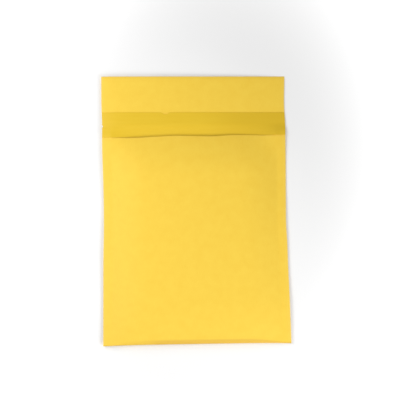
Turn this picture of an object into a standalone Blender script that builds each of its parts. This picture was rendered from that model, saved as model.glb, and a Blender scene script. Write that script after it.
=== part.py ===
"""Padded mailing envelope, lying on its back with the flap open.

One kraft sheet is folded across the bottom, glued down both sides and left long
enough at the mouth for a flap. A second, folded web of bubble film lines the pocket.
The flap carries a band of adhesive under a peel-off release liner.

Units are metres and +Z is up. +Y runs from the bottom fold to the flap's free edge.
The origin is the middle of the footprint, on the surface that the envelope lies on.
"""

import math

import bmesh
import bpy

# The envelope as made up
WIDTH = 0.184  # across both glued sides
BODY = 0.2055  # from the bottom fold to the mouth
FLAP = 0.0615  # from the mouth to the flap's free edge

# Kraft sheet
PAPER = 0.00025  # thickness
SEAM = 0.009  # width of the glued strip down each side

# Bubble film
FILM = 0.00015  # thickness of the web between bubbles
BUBBLE_HEIGHT = 0.0032
BUBBLE_PITCH = 0.0130  # centre to centre along a row
BUBBLE_TOP = 0.0080  # width of a bubble's flat top
LINING_SIDE = 0.006  # from a glued side to the lining's edge
LINING_MOUTH = 0.012  # from the mouth to the lining's edge
POCKET_GAP = 0.0010  # between facing bubbles in the middle of the pocket

# Pillow form of the padded body
SIDE_SHOULDER = 0.034  # width of the slope beside each glued side
MOUTH_SHOULDER = 0.040  # length of the slope that runs down to the mouth
FOLD_SHOULDER = 0.036  # length of the slope that runs down to the bottom fold
FOLD_RADIUS = 0.0030  # outer radius of the rounded bottom fold
SEAM_LIFT = 0.0027  # height of the glued sides above the surface
WAIST = 0.0015  # how far each side is drawn in by the padding
WAIST_SKEW = 0.75  # under 1 moves the narrowest place towards the mouth
FOLD_BOW = 0.0008  # how far the fold's middle is drawn in between its corners

# Mouth
MOUTH_SKEW = 0.0011  # how far each end of its line lies off square to the sides
LIP_GAP = 0.0015  # opening between the lip and the back wall
LIP_BOW = 0.0016  # how far the lip's middle stands out over the flap
LIP_WAVE = 0.0003  # height of the lip's waves
LIP_RIPPLE = 0.0005  # how far each wave pushes the lip out or in
LIP_WAVE_LENGTH = 0.064
LIP_WAVE_CREST = -0.016  # place of one crest, across the envelope

# Flap
FLAP_LIFT_LEFT = 0.0030  # height of the free edge's left corner
FLAP_LIFT_RIGHT = 0.0008  # height of its right corner

# Closure band on the flap
ADHESIVE = 0.00015  # thickness
ADHESIVE_WIDTH = 0.018
ADHESIVE_START = 0.003  # from the mouth
ADHESIVE_END = 0.004  # bare kraft at each end
LINER = 0.00010  # thickness
LINER_WIDTH = 0.0245
LINER_START = 0.0008  # from the mouth

# Gap kept between two pieces that touch
CLEARANCE = 0.0003

# Fineness of the sheets
SHOULDER_STEPS = 4
HALF_FLAT_STEPS = 4
WALL_FLAT_STEPS = 4
TURN_STEPS = 6
FLAP_STEPS = 4
BAND_STEPS = 2
CELL_SIDES = 6
SHARP_ANGLE = math.radians(50)
WELD = 0.000001

# Worked out from the sizes above
LENGTH = BODY + FLAP
FOLD_Y = -LENGTH / 2
MOUTH_Y = FOLD_Y + BODY
SEAM_INNER = WIDTH / 2 - SEAM
TURN = math.pi * FOLD_RADIUS  # length of sheet that goes round the bottom fold
FLAP_FOOT = 2 * BODY + TURN  # place on the blank where the back wall becomes the flap
FILM_DEPTH = PAPER + CLEARANCE + FILM
FULL_ROOM = BUBBLE_HEIGHT + POCKET_GAP / 2
FULL_HALF = FILM_DEPTH + FULL_ROOM

# Each piece's colour in screen hex, its roughness and its opacity
FINISHES = {
    "kraft_envelope": ("f3ce4d", 0.62, 1.0),
    "bubble_lining": ("eef2f3", 0.25, 0.6),
    "adhesive_strip": ("e8d9a0", 0.35, 1.0),
    "release_liner": ("eac437", 0.38, 1.0),
}


def rise(share):
    """Quarter sine: 0 at the foot of a shoulder, 1 and level at its top."""
    return math.sin(math.pi / 2 * min(max(share, 0.0), 1.0))


def steps(start, end, count):
    """Evenly spaced places from start to end, both included."""
    return [start + (end - start) * i / count for i in range(count + 1)]


def distance_from_mouth(v):
    """How far into the pocket a place on the folded blank lies."""
    if v <= BODY:
        return v
    return min(max(FLAP_FOOT - v, 0.0), BODY)


def side_rise(u):
    """How far the padding has filled out: 0 on a glued side, 1 on the flat."""
    return rise((SEAM_INNER - abs(u)) / SIDE_SHOULDER)


def lip_wave(u):
    """The lip's waves: 1 on a crest, -1 in a trough."""
    return math.cos(math.tau * (u - LIP_WAVE_CREST) / LIP_WAVE_LENGTH)


def half_thickness(u, down):
    """Half the envelope's thickness across at u, at a distance down from the mouth."""
    lip = PAPER + LIP_GAP / 2 + LIP_WAVE / 2 * lip_wave(u)
    flat = FULL_HALF
    flat -= (FULL_HALF - lip) * (1 - rise(down / MOUTH_SHOULDER))
    flat -= (FULL_HALF - FOLD_RADIUS) * (1 - rise((BODY - down) / FOLD_SHOULDER))
    return PAPER + (flat - PAPER) * side_rise(u)


def drawn_in(u, down):
    """Place across the envelope once the padding has pulled the sides in."""
    pull = math.sin(math.pi * (down / BODY) ** WAIST_SKEW) ** 2
    return u * (1 - WAIST * pull / (WIDTH / 2))


def front_reach(u, v):
    """How far the front wall stands out past a straight mouth, fading down the wall."""
    bow = LIP_BOW * max(1 - (u / SEAM_INNER) ** 2, 0.0) ** 2
    ripple = LIP_RIPPLE * lip_wave(u) * side_rise(u)
    return (bow + ripple) * (1 - rise(v / MOUTH_SHOULDER))


def skewed(u, away):
    """Shift of the mouth's line off square, fading away down the walls and the flap."""
    return MOUTH_SKEW * u / (WIDTH / 2) * (1 - rise(away / MOUTH_SHOULDER))


def fold(u, v, depth):
    """Carry a point of the flat blank to its place on the made-up envelope.

    u is across the blank. v runs along it from the mouth down the front wall, round
    the bottom fold, up the back wall and out over the flap. depth is measured in from
    the envelope's outer face.
    """
    down = distance_from_mouth(v)
    half = half_thickness(u, down)
    slack = 1 - side_rise(u)
    x = drawn_in(u, down)
    if v > FLAP_FOOT:
        out = v - FLAP_FOOT
        corner = FLAP_LIFT_RIGHT if u > 0 else FLAP_LIFT_LEFT
        lift = SEAM_LIFT + (corner - SEAM_LIFT) * out / FLAP
        return (x, MOUTH_Y + out + skewed(u, out), lift * slack + depth)
    fold_line = FOLD_Y + FOLD_BOW * (1 - (u / (WIDTH / 2)) ** 2)
    turn_centre = fold_line + half_thickness(u, BODY)
    turn = math.pi * min(max((v - BODY) / TURN, 0.0), 1.0)
    y = MOUTH_Y - (MOUTH_Y - turn_centre) * down / BODY - (half - depth) * math.sin(turn)
    y += front_reach(u, v) + skewed(u, down)
    z = SEAM_LIFT * slack + half + (half - depth) * math.cos(turn)
    return (x, y, z)


def lining_depth(u, v, height):
    """Depth of a point of the bubble film, whose bubbles flatten as the pocket closes."""
    room = half_thickness(u, distance_from_mouth(v)) - FILM_DEPTH
    bubble = max(height - FILM, 0.0)
    return PAPER + CLEARANCE + min(height, FILM) + bubble * room / FULL_ROOM


def cut_blank(columns, rows):
    """Flat sheet with a grid line at each place given, and its vertices by line."""
    sheet = bmesh.new()
    last_i = len(columns) - 1
    last_j = len(rows) - 1
    bmesh.ops.create_grid(sheet, x_segments=last_i, y_segments=last_j, size=0.5)
    lines = {}
    for vert in sheet.verts:
        i = round((vert.co.x + 0.5) * last_i)
        j = round((vert.co.y + 0.5) * last_j)
        vert.co = (columns[i], rows[j], 0.0)
        lines[i, j] = vert
    return sheet, lines


def thicken(sheet, thickness):
    """Close a flat sheet into a slab, and return the faces of its raised side."""
    raised = bmesh.ops.extrude_face_region(sheet, geom=sheet.faces[:], use_keep_orig=True)
    verts = [item for item in raised["geom"] if isinstance(item, bmesh.types.BMVert)]
    bmesh.ops.translate(sheet, verts=verts, vec=(0.0, 0.0, thickness))
    return [item for item in raised["geom"] if isinstance(item, bmesh.types.BMFace)]


def finish(name, sheet, creases):
    """Turn a folded sheet into a named object with its own material.

    creases says which diagonal a bent quad breaks along. The long one stands out from
    the pocket, and the short one stays in, so the kraft and its lining never cross.
    """
    bmesh.ops.remove_doubles(sheet, verts=sheet.verts[:], dist=WELD)
    bmesh.ops.triangulate(sheet, faces=sheet.faces[:], quad_method=creases)
    bmesh.ops.recalc_face_normals(sheet, faces=sheet.faces[:])
    mesh = bpy.data.meshes.new(name)
    sheet.to_mesh(mesh)
    sheet.free()
    mesh.shade_smooth()
    mesh.set_sharp_from_angle(angle=SHARP_ANGLE)
    colour, roughness, opacity = FINISHES[name]
    material = bpy.data.materials.new(name)
    material.use_nodes = True
    shader = material.node_tree.nodes["Principled BSDF"]
    shader.inputs["Base Color"].default_value = (*linear(colour), 1.0)
    shader.inputs["Roughness"].default_value = roughness
    shader.inputs["Metallic"].default_value = 0.0
    shader.inputs["Alpha"].default_value = opacity
    mesh.materials.append(material)
    bpy.context.collection.objects.link(bpy.data.objects.new(name, mesh))


def linear(colour):
    """Red, green and blue of a hex colour as the linear values that a shader takes."""
    values = []
    for start in (0, 2, 4):
        value = int(colour[start:start + 2], 16) / 255
        values.append(value / 12.92 if value <= 0.04045 else ((value + 0.055) / 1.055) ** 2.4)
    return values


def sheet_columns(margin=0.0):
    """Grid lines across the kraft, with a margin left off at each end."""
    flat_end = SEAM_INNER - SIDE_SHOULDER
    half = steps(0.0, flat_end, HALF_FLAT_STEPS)
    half += steps(flat_end, SEAM_INNER, SHOULDER_STEPS)[1:]
    half.append(WIDTH / 2 - margin)
    return [-place for place in reversed(half[1:])] + half


def wall_rows():
    """Grid lines down one wall, from the mouth to the start of the bottom fold."""
    rows = steps(0.0, MOUTH_SHOULDER, SHOULDER_STEPS)
    rows += steps(MOUTH_SHOULDER, BODY - FOLD_SHOULDER, WALL_FLAT_STEPS)[1:]
    rows += steps(BODY - FOLD_SHOULDER, BODY, SHOULDER_STEPS)[1:]
    return rows


def there_and_back(front):
    """Grid lines down the front wall, round the bottom fold and up the back wall."""
    turn = steps(BODY, BODY + TURN, TURN_STEPS)[1:-1]
    back = [FLAP_FOOT - place for place in reversed(front)]
    return front + turn + back


def kraft_envelope():
    """The outer sheet: cut, folded at the bottom, glued down the sides."""
    rows = there_and_back(wall_rows())
    rows += steps(FLAP_FOOT, FLAP_FOOT + FLAP, FLAP_STEPS)[1:]
    sheet, _ = cut_blank(sheet_columns(), rows)
    inner = thicken(sheet, PAPER)
    glued = []
    for face in inner:
        centre = face.calc_center_median()
        if abs(centre.x) > SEAM_INNER and centre.y < FLAP_FOOT:
            glued.append(face)
    bmesh.ops.delete(sheet, geom=glued, context="FACES")
    for vert in sheet.verts:
        vert.co = fold(*vert.co)
    finish("kraft_envelope", sheet, "LONG_EDGE")


def bubble_lining():
    """The folded web of bubble film, its staggered bubbles facing into the pocket."""
    width = 2 * (SEAM_INNER - LINING_SIDE)
    wall = BODY - LINING_MOUTH
    across = round(width / BUBBLE_PITCH)
    down = round(wall / (BUBBLE_PITCH * math.sqrt(3) / 2))
    columns = steps(-width / 2, width / 2, 2 * across)
    rows = there_and_back(steps(LINING_MOUTH, BODY, down))
    sheet, lines = cut_blank(columns, rows)
    # Pairs of panels, staggered row by row, join into the bubbles' six-sided cells
    joined = []
    for j in range(len(rows) - 1):
        row = min(j, len(rows) - 2 - j)
        for i in range(1, 2 * across):
            if row < down and (i + row) % 2 == 1:
                joined.append(sheet.edges.get((lines[i, j], lines[i, j + 1])))
    bmesh.ops.dissolve_edges(sheet, edges=joined, use_verts=False)
    # A sixth of a row up or down makes the cells' sides equal
    zigzag = wall / down / 6
    for (i, j), vert in lines.items():
        line = min(j, len(rows) - 1 - j)
        towards_fold = 1 if j < len(rows) / 2 else -1
        if 0 < line < down:
            vert.co.y += towards_fold * zigzag * (1 if (i + line) % 2 == 0 else -1)
    inner = thicken(sheet, FILM)
    cells = [face for face in inner if len(face.verts) == CELL_SIDES]
    slope = (width / across - BUBBLE_TOP) / 2
    bmesh.ops.inset_individual(sheet, faces=cells, thickness=slope, depth=BUBBLE_HEIGHT)
    for vert in sheet.verts:
        u, v, height = vert.co
        vert.co = fold(u, v, lining_depth(u, v, height))
    finish("bubble_lining", sheet, "SHORT_EDGE")


def flap_band(name, start, width, end_margin, depth, thickness):
    """A thin strip laid across the flap, above the mouth."""
    rows = steps(FLAP_FOOT + start, FLAP_FOOT + start + width, BAND_STEPS)
    sheet, _ = cut_blank(sheet_columns(end_margin), rows)
    thicken(sheet, thickness)
    for vert in sheet.verts:
        u, v, height = vert.co
        vert.co = fold(u, v, depth + height)
    finish(name, sheet, "LONG_EDGE")


def closure_band():
    """The adhesive on the flap, and the release liner that covers it."""
    adhesive_depth = PAPER + CLEARANCE
    liner_depth = adhesive_depth + ADHESIVE + CLEARANCE
    flap_band("adhesive_strip", ADHESIVE_START, ADHESIVE_WIDTH, ADHESIVE_END,
              adhesive_depth, ADHESIVE)
    flap_band("release_liner", LINER_START, LINER_WIDTH, 0.0, liner_depth, LINER)


def clear_scene():
    """Remove whatever the opened file holds."""
    for old in list(bpy.data.objects):
        bpy.data.objects.remove(old, do_unlink=True)


clear_scene()
kraft_envelope()
bubble_lining()
closure_band()
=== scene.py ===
import math

import bpy
import numpy as np
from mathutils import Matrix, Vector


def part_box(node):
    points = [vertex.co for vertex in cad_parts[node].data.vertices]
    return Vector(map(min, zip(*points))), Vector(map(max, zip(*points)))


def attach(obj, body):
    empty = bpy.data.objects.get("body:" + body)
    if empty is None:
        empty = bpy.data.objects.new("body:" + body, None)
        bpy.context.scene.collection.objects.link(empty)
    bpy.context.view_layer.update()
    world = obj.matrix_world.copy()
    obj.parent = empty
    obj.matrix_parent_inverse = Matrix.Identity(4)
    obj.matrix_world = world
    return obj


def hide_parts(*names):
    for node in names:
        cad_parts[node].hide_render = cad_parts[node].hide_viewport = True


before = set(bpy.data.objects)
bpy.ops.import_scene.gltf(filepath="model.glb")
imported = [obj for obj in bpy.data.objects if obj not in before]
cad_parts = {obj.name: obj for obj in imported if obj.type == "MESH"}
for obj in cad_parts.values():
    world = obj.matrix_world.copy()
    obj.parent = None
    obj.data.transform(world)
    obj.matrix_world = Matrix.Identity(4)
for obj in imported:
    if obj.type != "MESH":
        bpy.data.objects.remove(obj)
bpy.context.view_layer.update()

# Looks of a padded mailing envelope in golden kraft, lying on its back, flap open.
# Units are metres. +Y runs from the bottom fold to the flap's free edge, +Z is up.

MM = 0.001

# Sizes taken from the frame
kraft_low, kraft_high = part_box("kraft_envelope")
HALF_WIDTH = kraft_high.x
FOLD_Y = kraft_low.y
THICKNESS = kraft_high.z
BODY = 205.5 * MM  # from the bottom fold to the mouth
MOUTH_Y = FOLD_Y + BODY
FLAP = kraft_high.y - MOUTH_Y

# Sheets
PAPER = 0.25 * MM
SEAM = 9 * MM  # glued strip down each side
SEAM_INNER = HALF_WIDTH - SEAM
FILM = 0.15 * MM
BUBBLE_HEIGHT = 3.2 * MM
BUBBLE_RADIUS = 5 * MM
BUBBLE_PITCH = 13 * MM
LINING_SIDE = 6 * MM  # from a glued side to the lining's edge
LINING_MOUTH = 12 * MM  # from the mouth to the lining's edge
LAMINATION = 0.15 * MM  # gap that the glue between kraft and lining takes
ADHESIVE = 0.15 * MM
ADHESIVE_START = 3 * MM
ADHESIVE_WIDTH = 18 * MM
ADHESIVE_END = 4 * MM  # bare kraft at each end
LINER = 0.1 * MM
LINER_START = 0.8 * MM  # from the mouth
LINER_WIDTH = 23.9 * MM
GAP = 0.04 * MM  # between sheets that lie on each other

# Bubble web, before it is folded
CELL_POINTS = 12  # round the six-sided cell: its corners and the middles of its sides
CELL_RIM = 0.6 * MM  # flat film round each bubble
BUBBLE_RINGS = ((0.45, 0.96), (0.80, 0.80), (0.97, 0.48))  # shares of height and radius
BUBBLE_COLUMNS = 14
BUBBLE_ROW_PAIRS = 19
FOLD_CRUSH = 9 * MM  # reach of the bottom fold's crushing of the bubbles
CRUSHED = 0.05  # share of its height that a bubble keeps in the fold

# Grid pitches of the sheets, finer where they bend
ACROSS_PITCH = 1.6 * MM
WALL_PITCH = 2.4 * MM
SHOULDER_PITCH = 1.8 * MM
LIP_PITCH = 0.6 * MM
BESIDE_FOLD = 8 * MM  # length of wall beside the bottom fold with the edge pitch
EDGE_PITCH = 0.5 * MM
TURN_PITCH = 0.55 * MM
FLAP_PITCH = 1.9 * MM
BAND_PITCH = 1.5 * MM
BAND_ACROSS_PITCH = 1.0 * MM
BESIDE_NICK = 2 * MM  # length with the nick's pitch on each side of it
NICK_PITCH = 0.4 * MM

# Pillow form
SIDE_SHOULDER = 34 * MM
RIGHT_SHOULDER = 37 * MM  # the right side slopes a little more gently
MOUTH_SHOULDER = 40 * MM
FOLD_SHOULDER = 36 * MM
FOLD_RADIUS = 3 * MM
SEAM_LIFT = 2.7 * MM
LEFT_SEAM_DROP = 0.9 * MM  # how much lower each glued side's outer edge lies
RIGHT_SEAM_DROP = 0.7 * MM
SEAM_DROP_FADE = 6 * MM  # length of flap over which that drop ends
SEAM_WAVE = 0.35 * MM  # height of the glued sides' waviness
SEAM_WAVE_LENGTH = 96 * MM
LEFT_WAVE_START = 0.4  # radians, at the mouth
RIGHT_WAVE_START = 2.6
RIGHT_DIP = 1.2 * MM  # how much lower the right glued side lies in its upper half
RIGHT_DIP_PLACE = 45 * MM  # down from the mouth
RIGHT_DIP_LENGTH = 65 * MM
MOUTH_SKEW = 1.1 * MM  # how far each end of the mouth's line lies off square
LIP_GAP = 2.0 * MM
LIP_NARROWING = 0.35  # share of the gap that is lost towards the right
NARROWING_START = 15 * MM  # from the middle
NARROWING_LENGTH = 40 * MM
LIP_ROLL = 0.15 * MM  # how far the lip's edge turns down
LIP_ROLL_LENGTH = 5 * MM
FOLD_BOW = 0.8 * MM
TURN = math.pi * FOLD_RADIUS
FLAP_FOOT = 2 * BODY + TURN  # place on the blank where the back wall becomes the flap
FULL_HALF = THICKNESS / 2

# Unevenness of the front wall
# Each broad wave's share, its lengths across and down in millimetres, and its start
SOFT_WAVES = [(0.5, 71, 143, 0.7), (0.3, -47, 58, 2.1), (0.2, 33, 41, 4.0)]
WALL_WAVE = 0.12 * MM
PUCKER = 0.10 * MM  # height of the ripples on the side shoulders
PUCKER_LENGTH = 27 * MM
CREASE_DEPTH = 0.10 * MM  # faint crease along the bottom fold
CREASE_PLACE = 4 * MM  # up from the fold
CREASE_WIDTH = 1.2 * MM
CREASE_START = -30 * MM  # it comes in from here to the right
CREASE_LENGTH = 40 * MM
RELIEF_FADE = 12 * MM  # length over which the waves end at the bottom fold

# Flap
FLAP_LEFT_LIFT = 3.0 * MM  # height of its left side above the floor
FLAP_RIGHT_LIFT = 0.4 * MM
FLAP_ROOT = 14 * MM  # length over which it leaves the body's form for its own
FLAP_WAVE = 0.10 * MM
FLAP_DROOP = 1.0 * MM  # how far its left edge hangs down again
FLAP_DROOP_WIDTH = 16 * MM
FLAP_DRAW = 0.0045  # share of its length that the lifted side loses
EDGE_ROLL = 0.5 * MM  # how far its free edge turns down
EDGE_ROLL_LENGTH = 4 * MM

# Marks of making and handling on the kraft, and a painted shade along the bottom fold
SIDE_WEAR = 1.2 * MM  # reach of the rubbing in from each side
END_WEAR = 0.8 * MM  # and from the flap's free edge and the lip
LIP_WEAR = 0.2  # share of the rubbing at the lip
FOLD_SHADE_WIDTH = 1.3 * MM  # painted shade: dark line where the front wall turns into the bottom fold
FOLD_SHADE_LEFT = 0.3  # its share of full strength at the left
FOLD_SHADE_START = -60 * MM  # it grows to full strength from here
FOLD_SHADE_LENGTH = 30 * MM

# Outlines read off the photograph, as (distance, offset) in millimetres.
# The sides are drawn in by the offset at a distance down from the mouth, minus on the flap.
LEFT_SIDE = [(-59, 0), (-32, 0), (-18, 0.45), (10, 0.4), (40, 1.1), (70, 1.55), (96, 1.4),
             (116, 0.9), (160, 0.4), (208, 0)]
RIGHT_SIDE = [(-59, 0.2), (-32, 1.1), (-14, 0.65), (0, 0.75), (25, 0.95), (64, 1.8), (88, 2.2),
              (106, 1.5), (130, 1.2), (148, 0.8), (184, 0.3), (208, 0)]
# The lip stands out over the flap by the offset at a distance across from the middle.
LIP_LINE = [(-92, 0), (-83, 0), (-61, -0.1), (-46, 0.5), (-18, 1.4), (6, 0.6), (22, 0.4),
            (38, 1.2), (56, 0.85), (72, 0.3), (83, 0), (92, 0)]
NICK_PLACE = -11.5 * MM  # small nick in the left edge, beside the release liner
NICK_DEPTH = 0.9 * MM
NICK_WIDTH = 0.8 * MM
NICK_REACH = 0.03  # share of the half width that it moves
LINER_TAPER = 0.35 * MM  # how much narrower than its mean the liner is at its right end
LINER_SHADE_FROM = 95 * MM  # from its left end, where the painted shade on the liner begins
LINER_SHADE_FULL = 150 * MM
NOTCH_PLACE = -28.5 * MM  # shallow notch in the liner's upper edge
NOTCH_DEPTH = 2.0 * MM
NOTCH_WIDTH = 3 * MM
WAVER = 0.03  # share of its width by which the rolled adhesive's edges waver
WAVER_LENGTH = 23 * MM


def rise(share):
    """Quarter sine: 0 at the foot of a shoulder, 1 and level at its top."""
    return np.sin(np.pi / 2 * np.clip(share, 0, 1))


def ease(share):
    """Smooth step from 0 to 1."""
    share = np.clip(share, 0, 1)
    return share * share * (3 - 2 * share)


def through(points, places):
    """Smooth curve through a few millimetre points, read at many places in metres."""
    x, y = np.array(points, float).T * MM
    slope = np.gradient(y, x)
    i = np.clip(np.searchsorted(x, places) - 1, 0, len(x) - 2)
    width = x[i + 1] - x[i]
    t = np.clip((places - x[i]) / width, 0, 1)
    start = (1 + 2 * t) * y[i] + t * width * slope[i]
    end = (3 - 2 * t) * y[i + 1] - (1 - t) * width * slope[i + 1]
    return (1 - t) ** 2 * start + t ** 2 * end


def side_rise(u):
    """How far the padding has filled out: 0 on a glued side, 1 on the flat."""
    return rise((SEAM_INNER - abs(u)) / np.where(u < 0, SIDE_SHOULDER, RIGHT_SHOULDER))


def half_thickness(u, down):
    """Half the envelope's thickness across at u, at a distance down from the mouth."""
    narrowing = LIP_NARROWING * ease((u - NARROWING_START) / NARROWING_LENGTH)
    lip = PAPER + LIP_GAP / 2 * (1 - narrowing)
    flat = FULL_HALF - (FULL_HALF - lip) * (1 - rise(down / MOUTH_SHOULDER))
    flat -= (FULL_HALF - FOLD_RADIUS) * (1 - rise((BODY - down) / FOLD_SHOULDER))
    return PAPER + (flat - PAPER) * side_rise(u)


def drawn_in(u, along):
    """Place across the envelope once its sides are drawn in."""
    nick = NICK_DEPTH * np.exp(-((along - NICK_PLACE) / NICK_WIDTH) ** 2)
    nick = nick * ease((abs(u) / HALF_WIDTH - (1 - NICK_REACH)) / NICK_REACH)
    left = through(LEFT_SIDE, along) + nick
    right = through(RIGHT_SIDE, along)
    return u * (1 - np.where(u < 0, left, right) / HALF_WIDTH)


def soft_waves(u, v):
    """Broad, shallow unevenness of a wall of padded kraft, from -1 to 1."""
    waves = 0
    for share, across, down, start in SOFT_WAVES:
        turns = u / (across * MM) + v / (down * MM)
        waves = waves + share * np.sin(math.tau * turns + start)
    return waves


def front_relief(u, down):
    """Height that the front wall adds to the plain pillow form."""
    roll = -LIP_ROLL * np.clip(1 - down / LIP_ROLL_LENGTH, 0, 1) ** 2
    waves = WALL_WAVE * soft_waves(u, down) * rise(down / MOUTH_SHOULDER)
    puckers = PUCKER * np.sin(math.tau * down / PUCKER_LENGTH + np.sign(u))
    puckers = puckers * (1 - side_rise(u)) * rise((BODY - down) / FOLD_SHOULDER)
    crease = -CREASE_DEPTH * np.exp(-((BODY - down - CREASE_PLACE) / CREASE_WIDTH) ** 2)
    crease = crease * ease((u - CREASE_START) / CREASE_LENGTH)
    fade = rise((BODY - down) / RELIEF_FADE)
    return side_rise(u) * (roll + (waves + puckers) * fade + crease)


def seam_height(u, along):
    """Height of the glued sides above the floor, with their slight waviness."""
    start = np.where(u < 0, LEFT_WAVE_START, RIGHT_WAVE_START)
    drop = np.where(u < 0, LEFT_SEAM_DROP, RIGHT_SEAM_DROP)
    drop = drop * np.clip((abs(u) - SEAM_INNER) / SEAM, 0, 1)
    drop = drop * ease(1 + along / SEAM_DROP_FADE)
    dip = np.exp(-((along - RIGHT_DIP_PLACE) / RIGHT_DIP_LENGTH) ** 2)
    drop = drop + np.where(u < 0, 0, RIGHT_DIP) * dip
    return SEAM_LIFT - drop + SEAM_WAVE * np.sin(math.tau * along / SEAM_WAVE_LENGTH + start)


def flap_tilt(u):
    """How far the flap is lifted across its width: 1 at its left side, 0 at its right."""
    return 1 - ((1 + u / HALF_WIDTH) / 2) ** 2


def flap_height(u, out):
    """Height of the flap's lower face at a distance out from the mouth."""
    free = FLAP_RIGHT_LIFT + (FLAP_LEFT_LIFT - FLAP_RIGHT_LIFT) * flap_tilt(u)
    droop = np.clip(1 - (u + HALF_WIDTH) / FLAP_DROOP_WIDTH, 0, 1) ** 2
    free = free - FLAP_DROOP * droop + FLAP_WAVE * (1 + soft_waves(u, out))
    free -= EDGE_ROLL * np.clip((out - FLAP) / EDGE_ROLL_LENGTH + 1, 0, 1) ** 2
    share = ease(out / FLAP_ROOT)
    height = seam_height(u, -out) * (1 - side_rise(u)) * (1 - share) + free * share
    return np.maximum(height, 0)


def skewed(u, away):
    """Shift of the mouth's line off square, fading away down the walls and the flap."""
    return MOUTH_SKEW * u / HALF_WIDTH * (1 - rise(away / MOUTH_SHOULDER))


def fold(u, v, depth):
    """Carries points of a flat blank to the made-up envelope.

    u is across. v runs from the mouth down the front wall, round the bottom fold, up
    the back wall and out over the flap. depth is measured in from the outer face.
    """
    down = np.where(v <= BODY, v, np.clip(FLAP_FOOT - v, 0, BODY))
    out = np.maximum(v - FLAP_FOOT, 0)
    half = half_thickness(u, down)
    slack = 1 - side_rise(u)
    x = drawn_in(u, down - out)
    fold_line = FOLD_Y + FOLD_BOW * (1 - (u / HALF_WIDTH) ** 4)
    turn_centre = fold_line + half_thickness(u, BODY)
    turn = math.pi * np.clip((v - BODY) / TURN, 0, 1)
    front = v < BODY
    y = MOUTH_Y - (MOUTH_Y - turn_centre) * down / BODY - (half - depth) * np.sin(turn)
    y += np.where(front, through(LIP_LINE, u) * (1 - rise(v / MOUTH_SHOULDER)), 0)
    y += skewed(u, down)
    z = seam_height(u, down) * slack + half + (half - depth) * np.cos(turn)
    z += np.where(front, front_relief(u, down), 0)
    on_flap = out > 0
    reach = out * (1 - FLAP_DRAW * flap_tilt(u))
    y = np.where(on_flap, MOUTH_Y + reach + skewed(u, out), y)
    z = np.where(on_flap, flap_height(u, out) + depth, z)
    return np.stack([x, y, z], axis=1)


def steps(start, end, pitch):
    """Evenly spaced places from start to end, both included, about a pitch apart."""
    return np.linspace(start, end, max(round(abs(end - start) / pitch), 1) + 1)


def joined(*runs):
    """One rising list of places from several runs that share their end places."""
    return np.concatenate([runs[0]] + [run[1:] for run in runs[1:]])


def points_of(piece):
    """A piece's vertices as an array, one row each."""
    points = np.empty(len(piece.data.vertices) * 3)
    piece.data.vertices.foreach_get("co", points)
    return points.reshape(-1, 3)


def set_points(piece, points):
    """Moves a piece's vertices to the places in an array."""
    piece.data.vertices.foreach_set("co", points.ravel())
    piece.data.update()


def pick(piece):
    """Makes one piece the only selected and active one."""
    bpy.ops.object.select_all(action="DESELECT")
    piece.select_set(True)
    bpy.context.view_layer.objects.active = piece


def cut_sheet(name, columns, rows, thickness):
    """A flat sheet of paper or film with a grid line at each place given."""
    bpy.ops.object.select_all(action="DESELECT")
    across, along = len(columns) - 1, len(rows) - 1
    bpy.ops.mesh.primitive_grid_add(x_subdivisions=across, y_subdivisions=along, size=1)
    sheet = bpy.context.object
    sheet.name = name
    sheet.data.name = name
    points = points_of(sheet)
    i = np.rint((points[:, 0] + 0.5) * across).astype(int)
    j = np.rint((points[:, 1] + 0.5) * along).astype(int)
    points[:, 0] = columns[i]
    points[:, 1] = rows[j]
    set_points(sheet, points)
    bpy.ops.object.mode_set(mode="EDIT")
    bpy.ops.mesh.select_all(action="SELECT")
    bpy.ops.mesh.extrude_region_move(TRANSFORM_OT_translate={"value": (0, 0, thickness)})
    bpy.ops.object.mode_set(mode="OBJECT")
    return sheet


def map_flat(sheet):
    """Keeps a sheet's flat shape as its UV map, in metres."""
    points = points_of(sheet)
    while sheet.data.uv_layers:
        sheet.data.uv_layers.remove(sheet.data.uv_layers[0])
    uv_map = sheet.data.uv_layers.new(name="Blank")
    corner = np.empty(len(sheet.data.loops), np.int32)
    sheet.data.loops.foreach_get("vertex_index", corner)
    uv_map.data.foreach_set("uv", (points[corner, :2] + [HALF_WIDTH, 0]).ravel())


def mark(sheet, name, values):
    """Stores one number for each vertex, for a material to read."""
    layer = sheet.data.attributes.new(name, "FLOAT", "POINT")
    layer.data.foreach_set("value", values)


def smooth(piece, degrees):
    """Shades a piece smooth, apart from edges sharper than an angle."""
    pick(piece)
    bpy.ops.object.shade_smooth_by_angle(angle=math.radians(degrees))


def kraft_columns(pitch, margin=0.0):
    """Grid lines across the kraft, finer on the shoulders and glued sides."""
    flat_end = SEAM_INNER - SIDE_SHOULDER
    right = joined(steps(0, flat_end, 1.6 * pitch), steps(flat_end, SEAM_INNER, pitch),
                   steps(SEAM_INNER, HALF_WIDTH - margin, pitch))
    return joined(-right[::-1], right)


def rows_past_nick(start, end, pitch):
    """Grid lines along the flap, finer beside the nick in its left edge."""
    nick = FLAP_FOOT - NICK_PLACE
    return joined(steps(start, nick - BESIDE_NICK, pitch),
                  steps(nick - BESIDE_NICK, nick + BESIDE_NICK, NICK_PITCH),
                  steps(nick + BESIDE_NICK, end, pitch))


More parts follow.
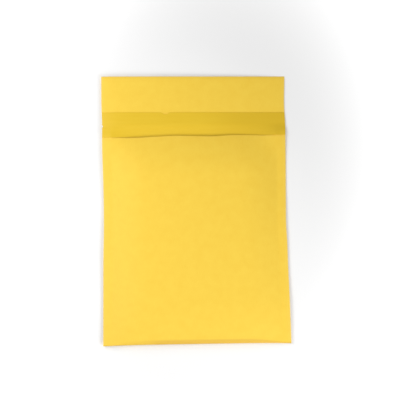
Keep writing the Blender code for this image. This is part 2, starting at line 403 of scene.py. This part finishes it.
def make_kraft_envelope():
    """The outer sheet: cut flat, folded at the bottom, glued down both sides."""
    front = joined(steps(0, LIP_ROLL_LENGTH, LIP_PITCH),
                   steps(LIP_ROLL_LENGTH, MOUTH_SHOULDER, SHOULDER_PITCH),
                   steps(MOUTH_SHOULDER, BODY - FOLD_SHOULDER, WALL_PITCH),
                   steps(BODY - FOLD_SHOULDER, BODY - BESIDE_FOLD, SHOULDER_PITCH),
                   steps(BODY - BESIDE_FOLD, BODY, EDGE_PITCH))
    turn = steps(BODY, BODY + TURN, TURN_PITCH)
    flap_end = FLAP_FOOT + FLAP
    flap = joined(rows_past_nick(FLAP_FOOT, flap_end - EDGE_ROLL_LENGTH, FLAP_PITCH),
                  steps(flap_end - EDGE_ROLL_LENGTH, flap_end, EDGE_PITCH))
    rows = joined(front, turn, FLAP_FOOT - front[::-1], flap)
    envelope = cut_sheet("kraft_sheet", kraft_columns(ACROSS_PITCH), rows, PAPER)
    map_flat(envelope)
    u, v, depth = points_of(envelope).T
    to_side = HALF_WIDTH - abs(u)
    to_free_edge = flap_end - v
    to_turn = np.maximum(abs(v - BODY - TURN / 2) - TURN / 2, 0)
    wear = np.exp(-to_side / SIDE_WEAR) + np.exp(-to_free_edge / END_WEAR)
    wear += LIP_WEAR * np.exp(-v / END_WEAR)
    mark(envelope, "wear", np.clip(wear, 0, 1))
    # Painted shade, on the outer face only: a darker line where the front wall turns into the
    # bottom fold
    strength = FOLD_SHADE_LEFT + (1 - FOLD_SHADE_LEFT) * ease((u - FOLD_SHADE_START) / FOLD_SHADE_LENGTH)
    fold_shade = np.exp(-(to_turn / FOLD_SHADE_WIDTH) ** 2) * strength
    mark(envelope, "fold_shade", fold_shade * (depth < PAPER / 2))

    # The glued margins keep only their outer faces; the two plies then weld together
    faces = envelope.data.polygons
    centres = np.empty(len(faces) * 3)
    faces.foreach_get("center", centres)
    x, y, z = centres.reshape(-1, 3).T
    glued = (abs(x) > SEAM_INNER) & (abs(x) < HALF_WIDTH - GAP)
    glued &= (z > PAPER * 0.9) & (y < FLAP_FOOT)
    pick(envelope)
    bpy.ops.object.mode_set(mode="EDIT")
    bpy.ops.mesh.select_mode(type="FACE")
    bpy.ops.object.mode_set(mode="OBJECT")
    faces.foreach_set("select", glued)
    bpy.ops.object.mode_set(mode="EDIT")
    bpy.ops.mesh.delete(type="FACE")
    bpy.ops.object.mode_set(mode="OBJECT")
    set_points(envelope, fold(*points_of(envelope).T))
    bpy.ops.object.mode_set(mode="EDIT")
    bpy.ops.mesh.select_all(action="SELECT")
    bpy.ops.mesh.remove_doubles(threshold=0.000001)
    bpy.ops.mesh.normals_make_consistent(inside=False)
    bpy.ops.object.mode_set(mode="OBJECT")
    smooth(envelope, 50)
    return envelope


def make_band(name, start, width, depth, thickness, end_margin=0, waver=0, notch=0, taper=0):
    """A thin strip laid across the flap: the adhesive or its release liner.

    start is measured from the mouth, and depth in from the flap's outer face.
    """
    rows = rows_past_nick(FLAP_FOOT + start, FLAP_FOOT + start + width, BAND_PITCH)
    band = cut_sheet(name, kraft_columns(BAND_ACROSS_PITCH, end_margin), rows, thickness)
    map_flat(band)
    u, v, height = points_of(band).T
    middle = FLAP_FOOT + start + width / 2
    stretch = 1 + waver * np.sin(math.tau * u / WAVER_LENGTH) * np.sign(v - middle)
    v = middle + (v - middle) * stretch
    near_edge = np.clip((v - middle) / (width / 2) * 2 - 1, 0, 1)
    v -= notch * np.exp(-((u - NOTCH_PLACE) / NOTCH_WIDTH) ** 4) * near_edge
    v -= taper * u / HALF_WIDTH * near_edge
    set_points(band, fold(u, v, depth + height))
    smooth(band, 50)
    return band


def make_bubble_web():
    """One round bubble with its share of film, repeated in staggered rows."""
    bpy.ops.object.select_all(action="DESELECT")
    corner = BUBBLE_PITCH / math.sqrt(3)
    bpy.ops.mesh.primitive_circle_add(vertices=CELL_POINTS, radius=corner, fill_type="NGON")
    web = bpy.context.object
    web.name = "bubble_film"
    web.data.name = "bubble_film"
    # Every other point of the circle moves in to the middle of a six-sided cell's side
    points = points_of(web)
    between = math.tau / CELL_POINTS
    angle = np.arctan2(points[:, 0], points[:, 1])
    middles = np.rint(angle / between).astype(int) % 2 == 1
    points[middles, :2] *= math.cos(between)
    set_points(web, points)
    bpy.ops.object.mode_set(mode="EDIT")
    bpy.ops.mesh.select_mode(type="FACE")
    bpy.ops.mesh.select_all(action="SELECT")
    bpy.ops.mesh.inset(thickness=CELL_RIM)
    bpy.ops.object.mode_set(mode="OBJECT")
    points = points_of(web)
    radius = np.hypot(points[:, 0], points[:, 1])
    foot = radius < BUBBLE_PITCH / 2 - CELL_RIM / 2
    points[foot, :2] *= (BUBBLE_RADIUS / radius[foot])[:, None]
    set_points(web, points)
    # The bubble rises ring by ring to its rounded top
    bpy.ops.object.mode_set(mode="EDIT")
    last_height, last_radius = 0.0, 1.0
    for height, radius in BUBBLE_RINGS:
        lift = (height - last_height) * BUBBLE_HEIGHT
        bpy.ops.mesh.extrude_region_move(TRANSFORM_OT_translate={"value": (0, 0, lift)})
        scale = radius / last_radius
        bpy.ops.transform.resize(value=(scale, scale, 1))
        last_height, last_radius = height, radius
    bpy.ops.mesh.poke(offset=(1 - last_height) * BUBBLE_HEIGHT)
    bpy.ops.object.mode_set(mode="OBJECT")

    # A second bubble half a pitch across and a row along, then rows of the pair
    row = BUBBLE_PITCH * math.sqrt(3) / 2
    repeats = (((BUBBLE_PITCH / 2, row, 0), 2), ((BUBBLE_PITCH, 0, 0), BUBBLE_COLUMNS),
               ((0, 2 * row, 0), BUBBLE_ROW_PAIRS))
    for offset, count in repeats:
        array = web.modifiers.new("Array", "ARRAY")
        array.use_relative_offset = False
        array.use_constant_offset = True
        array.constant_offset_displace = offset
        array.count = count
        bpy.ops.object.modifier_apply(modifier=array.name)
    points = points_of(web)
    half_web = SEAM_INNER - LINING_SIDE
    start, end = LINING_MOUTH, FLAP_FOOT - LINING_MOUTH
    points[:, 0] -= (points[:, 0].min() + points[:, 0].max()) / 2
    points[:, 1] += (start + end) / 2 - (points[:, 1].min() + points[:, 1].max()) / 2
    set_points(web, points)
    bpy.ops.object.mode_set(mode="EDIT")
    bpy.ops.mesh.select_all(action="SELECT")
    bpy.ops.mesh.remove_doubles(threshold=0.00001)
    cuts = (((half_web, 0, 0), (1, 0, 0)), ((-half_web, 0, 0), (-1, 0, 0)),
            ((0, end, 0), (0, 1, 0)), ((0, start, 0), (0, -1, 0)))
    for place, outwards in cuts:
        bpy.ops.mesh.select_all(action="SELECT")
        bpy.ops.mesh.bisect(plane_co=place, plane_no=outwards, clear_outer=True)
    bpy.ops.object.mode_set(mode="OBJECT")
    solid = web.modifiers.new("Film", "SOLIDIFY")
    solid.thickness = FILM
    solid.offset = 1
    bpy.ops.object.modifier_apply(modifier=solid.name)
    return web


def make_bubble_lining():
    """The web of bubbles folded into the pocket, crushed where the pocket closes in."""
    web = make_bubble_web()
    map_flat(web)
    u, v, height = points_of(web).T
    down = np.where(v <= BODY, v, np.clip(FLAP_FOOT - v, 0, BODY))
    film_depth = PAPER + LAMINATION + FILM
    room = half_thickness(u, down) - film_depth
    room = room + np.where(v < BODY, front_relief(u, down), 0) / 2
    share = room / (FULL_HALF - film_depth)
    to_turn = np.maximum(abs(v - BODY - TURN / 2) - TURN / 2, 0)
    share = share * (CRUSHED + (1 - CRUSHED) * ease(to_turn / FOLD_CRUSH))
    bubble = np.maximum(height - FILM, 0)
    depth = PAPER + LAMINATION + np.minimum(height, FILM) + bubble * share
    set_points(web, fold(u, v, depth))
    smooth(web, 60)
    return web


def linear(colour):
    """The linear colour, with alpha, of a hex colour written for the screen."""
    values = [int(colour[i:i + 2], 16) / 255 for i in (0, 2, 4)]
    return [v / 12.92 if v <= 0.04045 else ((v + 0.055) / 1.055) ** 2.4 for v in values] + [1]


def add(tree, kind, inputs=None, **settings):
    """Adds a node with its settings, and sets or links its inputs."""
    node = tree.nodes.new(kind)
    for name, value in settings.items():
        setattr(node, name, value)
    for name, value in (inputs or {}).items():
        if isinstance(value, bpy.types.NodeSocket):
            tree.links.new(value, node.inputs[name])
        else:
            node.inputs[name].default_value = value
    return node


def new_material(name):
    """An empty node material and its tree."""
    material = bpy.data.materials.new(name)
    material.use_nodes = True
    material.node_tree.nodes.clear()
    return material, material.node_tree


def machine_glazed_kraft():
    """Kraft paper, dyed golden and machine glazed.

    The eye gets a smooth, even gold with faint cloudy formation, short fibres along the
    sheet, a soft sheen, and paler, rougher fibres where the cut edges have rubbed.
    """
    material, tree = new_material("machine_glazed_kraft")
    flat = add(tree, "ShaderNodeUVMap", uv_map="Blank")
    # Fibres are 0.03 mm wide and 2 mm long; they are drawn 0.5 mm by 5 mm to show
    along = add(tree, "ShaderNodeMapping", {"Vector": flat.outputs["UV"],
                                            "Scale": (1 / (0.5 * MM), 1 / (5 * MM), 1)})
    fibres = add(tree, "ShaderNodeTexNoise", {"Vector": along.outputs["Vector"], "Scale": 1.0,
                                              "Detail": 3.0, "Roughness": 0.6})
    # Formation: clouds of denser pulp, about 9 mm across
    clouds = add(tree, "ShaderNodeTexNoise", {"Vector": flat.outputs["UV"],
                                              "Scale": 1 / (9 * MM), "Detail": 2.0})
    wear = add(tree, "ShaderNodeAttribute", attribute_name="wear")
    mixed = add(tree, "ShaderNodeMath", {0: fibres.outputs["Fac"], 1: clouds.outputs["Fac"]},
                operation="ADD")
    tone = add(tree, "ShaderNodeMapRange", {"Value": mixed.outputs["Value"], "From Min": 0.6,
                                            "From Max": 1.4})
    gold = add(tree, "ShaderNodeMix", {"Factor": tone.outputs["Result"],
                                       6: linear("f5cb3b"), 7: linear("f9d346")},
               data_type="RGBA")
    rubbed = add(tree, "ShaderNodeMath", {0: wear.outputs["Fac"], 1: fibres.outputs["Fac"]},
                 operation="MULTIPLY")
    base = add(tree, "ShaderNodeMix", {"Factor": rubbed.outputs["Value"],
                                       6: gold.outputs[2], 7: linear("f8d36a")},
               data_type="RGBA")
    # Painted shade: a darker line where the front wall turns into the bottom fold
    fold_shade = add(tree, "ShaderNodeAttribute", attribute_name="fold_shade")
    base = add(tree, "ShaderNodeMix", {"Factor": fold_shade.outputs["Fac"],
                                       6: base.outputs[2], 7: linear("e8bb40")},
               data_type="RGBA")
    glaze = add(tree, "ShaderNodeMapRange", {"Value": mixed.outputs["Value"], "From Min": 0.6,
                                             "From Max": 1.4, "To Min": 0.62, "To Max": 0.72})
    bump = add(tree, "ShaderNodeBump", {"Height": fibres.outputs["Fac"], "Strength": 0.25,
                                        "Distance": 0.02 * MM})
    shader = add(tree, "ShaderNodeBsdfPrincipled", {"Base Color": base.outputs[2],
                                                    "Roughness": glaze.outputs["Result"],
                                                    "Normal": bump.outputs["Normal"],
                                                    "IOR": 1.5})
    add(tree, "ShaderNodeOutputMaterial", {"Surface": shader.outputs["BSDF"]})
    return material


def silicone_release_paper():
    """Dyed glassine release paper with a silicone coating.

    The eye gets a deeper gold than the kraft, smoother, with a low gloss that catches
    the lamp where the strip curls.
    """
    material, tree = new_material("silicone_release_paper")
    flat = add(tree, "ShaderNodeUVMap", uv_map="Blank")
    # The coating is laid on in streaks along the strip, about 3 mm by 40 mm
    streaked = add(tree, "ShaderNodeMapping", {"Vector": flat.outputs["UV"],
                                               "Scale": (1 / (40 * MM), 1 / (3 * MM), 1)})
    streaks = add(tree, "ShaderNodeTexNoise", {"Vector": streaked.outputs["Vector"],
                                               "Scale": 1.0, "Detail": 2.0})
    gold = add(tree, "ShaderNodeMix", {"Factor": streaks.outputs["Fac"],
                                       6: linear("e6be24"), 7: linear("eac42c")},
               data_type="RGBA")
    # Painted shade: the strip's colour is darker towards its right end, which the lamps light
    # less
    across = add(tree, "ShaderNodeSeparateXYZ", {"Vector": flat.outputs["UV"]})
    right_shade = add(tree, "ShaderNodeMapRange", {"Value": across.outputs["X"],
                                             "From Min": LINER_SHADE_FROM, "From Max": LINER_SHADE_FULL},
                interpolation_type="SMOOTHSTEP")
    base = add(tree, "ShaderNodeMix", {"Factor": right_shade.outputs["Result"],
                                       6: gold.outputs[2], 7: linear("e1ba24")},
               data_type="RGBA")
    gloss = add(tree, "ShaderNodeMapRange", {"Value": streaks.outputs["Fac"],
                                             "To Min": 0.38, "To Max": 0.50})
    shader = add(tree, "ShaderNodeBsdfPrincipled", {"Base Color": base.outputs[2],
                                                    "Roughness": gloss.outputs["Result"],
                                                    "IOR": 1.45})
    add(tree, "ShaderNodeOutputMaterial", {"Surface": shader.outputs["BSDF"]})
    return material


def hot_melt_adhesive():
    """Pressure-sensitive hot melt, rolled on warm.

    The eye gets a pale amber, slightly cloudy film with a wet, uneven gloss.
    """
    material, tree = new_material("hot_melt_adhesive")
    place = add(tree, "ShaderNodeTexCoord")
    # Orange-peel from the roller, about 2 mm across
    peel = add(tree, "ShaderNodeTexNoise", {"Vector": place.outputs["Object"],
                                            "Scale": 1 / (2 * MM), "Detail": 1.0})
    base = add(tree, "ShaderNodeMix", {"Factor": peel.outputs["Fac"],
                                       6: linear("e2c878"), 7: linear("ecd796")},
               data_type="RGBA")
    bump = add(tree, "ShaderNodeBump", {"Height": peel.outputs["Fac"], "Strength": 0.4,
                                        "Distance": 0.05 * MM})
    shader = add(tree, "ShaderNodeBsdfPrincipled", {"Base Color": base.outputs[2],
                                                    "Roughness": 0.22,
                                                    "Normal": bump.outputs["Normal"],
                                                    "IOR": 1.48})
    add(tree, "ShaderNodeOutputMaterial", {"Surface": shader.outputs["BSDF"]})
    return material


def blown_polyethylene():
    """Clear low-density polyethylene bubble film.

    The eye gets a nearly clear, faintly milky film whose bubbles catch small highlights,
    with fine draw lines along the web.
    """
    material, tree = new_material("blown_polyethylene")
    flat = add(tree, "ShaderNodeUVMap", uv_map="Blank")
    drawn = add(tree, "ShaderNodeMapping", {"Vector": flat.outputs["UV"],
                                            "Scale": (1 / (0.8 * MM), 1 / (20 * MM), 1)})
    lines = add(tree, "ShaderNodeTexNoise", {"Vector": drawn.outputs["Vector"],
                                             "Scale": 1.0, "Detail": 2.0})
    milk = add(tree, "ShaderNodeMix", {"Factor": lines.outputs["Fac"],
                                       6: linear("e9eeef"), 7: linear("f6f9f9")},
               data_type="RGBA")
    haze = add(tree, "ShaderNodeMapRange", {"Value": lines.outputs["Fac"],
                                            "To Min": 0.14, "To Max": 0.26})
    shader = add(tree, "ShaderNodeBsdfPrincipled", {"Base Color": milk.outputs[2],
                                                    "Roughness": haze.outputs["Result"],
                                                    "IOR": 1.51,
                                                    "Transmission Weight": 0.85})
    add(tree, "ShaderNodeOutputMaterial", {"Surface": shader.outputs["BSDF"]})
    return material


def dress(piece, material, node):
    """Gives a finished piece its material and its place in the frame."""
    piece.data.materials.clear()
    piece.data.materials.append(material)
    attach(piece, "root")
    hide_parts(node)


kraft_sheet = make_kraft_envelope()
dress(kraft_sheet, machine_glazed_kraft(), "kraft_envelope")

bubble_film = make_bubble_lining()
dress(bubble_film, blown_polyethylene(), "bubble_lining")

adhesive_depth = PAPER + GAP
liner_depth = adhesive_depth + ADHESIVE + GAP
adhesive_band = make_band("adhesive_band", ADHESIVE_START, ADHESIVE_WIDTH, adhesive_depth,
                          ADHESIVE, end_margin=ADHESIVE_END, waver=WAVER)
dress(adhesive_band, hot_melt_adhesive(), "adhesive_strip")

liner_strip = make_band("liner_strip", LINER_START, LINER_WIDTH, liner_depth, LINER,
                        notch=NOTCH_DEPTH, taper=LINER_TAPER)
dress(liner_strip, silicone_release_paper(), "release_liner")


# Stage, lights and camera

FLOOR_SIZE = 6.0
FLOOR_DROP = 0.02 * MM  # below the envelope, so that their faces don't share a plane
# Glow of the floor, not cast on the envelope: weak beside it, so that soft shadows stay
NEAR_GLOW = 0.06
FAR_GLOW = 1.0
NEAR = 1.2  # in half widths and half lengths of the envelope from its middle
FAR = 3.8
ROOM_LIGHT = 0.31  # strength of the room's light on the envelope and the floor
ROOM_WHITE = 1.0  # strength at which the camera sees the room as white
LAMP_SIZE = 0.3
# Each lamp's name, its place in metres and its power in watts
LAMPS = [("left_lamp", (-0.38, -0.02, 0.45), 1.45),
         ("back_left_lamp", (-0.42, 0.28, 0.32), 1.08),
         ("front_right_lamp", (0.38, -0.42, 0.34), 2.46)]
FRAME_PIXELS = 400
FOCAL_PIXELS = 1222.4  # focal length in pixels of the photograph's frame
CAMERA_AT = (-0.0783, -0.1350, 1.2)
CAMERA_TURN = (6.89, -3.84, -0.97)  # degrees about X, Y and Z from straight down


def white_floor():
    """Matt white card, which also shows as plain white where nothing shades it."""
    material, tree = new_material("white_card")
    path = add(tree, "ShaderNodeLightPath")
    seen = add(tree, "ShaderNodeMath", {0: path.outputs["Is Camera Ray"],
                                        1: path.outputs["Is Glossy Ray"]}, operation="MAXIMUM")
    through_film = add(tree, "ShaderNodeMath", {0: seen.outputs["Value"],
                                                1: path.outputs["Is Transmission Ray"]},
                       operation="MAXIMUM")
    place = add(tree, "ShaderNodeTexCoord")
    spans = add(tree, "ShaderNodeMapping", {"Vector": place.outputs["Object"],
                                            "Scale": (1 / kraft_high.x, 1 / kraft_high.y, 1)})
    away = add(tree, "ShaderNodeVectorMath", {0: spans.outputs["Vector"]}, operation="LENGTH")
    strength = add(tree, "ShaderNodeMapRange", {"Value": away.outputs["Value"],
                                                "From Min": NEAR, "From Max": FAR,
                                                "To Min": NEAR_GLOW, "To Max": FAR_GLOW},
                   interpolation_type="SMOOTHSTEP")
    glow = add(tree, "ShaderNodeMath", {0: through_film.outputs["Value"],
                                        1: strength.outputs["Result"]}, operation="MULTIPLY")
    shader = add(tree, "ShaderNodeBsdfPrincipled", {"Base Color": linear("f0f0f0"),
                                                    "Roughness": 0.9,
                                                    "Specular IOR Level": 0.0,
                                                    "Emission Color": linear("ffffff"),
                                                    "Emission Strength": glow.outputs["Value"]})
    add(tree, "ShaderNodeOutputMaterial", {"Surface": shader.outputs["BSDF"]})
    return material


bpy.ops.object.select_all(action="DESELECT")
bpy.ops.mesh.primitive_plane_add(size=FLOOR_SIZE, location=(0, 0, -FLOOR_DROP))
floor = bpy.context.object
floor.name = "floor"
floor.data.materials.append(white_floor())

world = bpy.data.worlds.new("soft_room")
bpy.context.scene.world = world
world.use_nodes = True
world.node_tree.nodes.clear()
room_path = add(world.node_tree, "ShaderNodeLightPath")
room_strength = add(world.node_tree, "ShaderNodeMapRange",
                    {"Value": room_path.outputs["Is Camera Ray"],
                     "To Min": ROOM_LIGHT, "To Max": ROOM_WHITE})
room_light = add(world.node_tree, "ShaderNodeBackground",
                 {"Color": linear("ffffff"), "Strength": room_strength.outputs["Result"]})
add(world.node_tree, "ShaderNodeOutputWorld", {"Surface": room_light.outputs["Background"]})


def soft_box(name, place, power):
    """A square lamp that faces the middle of the envelope."""
    lamp = bpy.data.lights.new(name, "AREA")
    lamp.size = LAMP_SIZE
    lamp.energy = power
    box = bpy.data.objects.new(name, lamp)
    bpy.context.scene.collection.objects.link(box)
    box.location = place
    box.rotation_euler = box.location.to_track_quat("Z", "Y").to_euler()


for lamp_name, lamp_place, lamp_power in LAMPS:
    soft_box(lamp_name, lamp_place, lamp_power)

view = bpy.data.cameras.new("camera")
view.lens = FOCAL_PIXELS / FRAME_PIXELS * view.sensor_width
camera = bpy.data.objects.new("camera", view)
bpy.context.scene.collection.objects.link(camera)
camera.location = CAMERA_AT
camera.rotation_euler = [math.radians(angle) for angle in CAMERA_TURN]
bpy.context.scene.camera = camera
bpy.context.scene.view_settings.view_transform = "Standard"
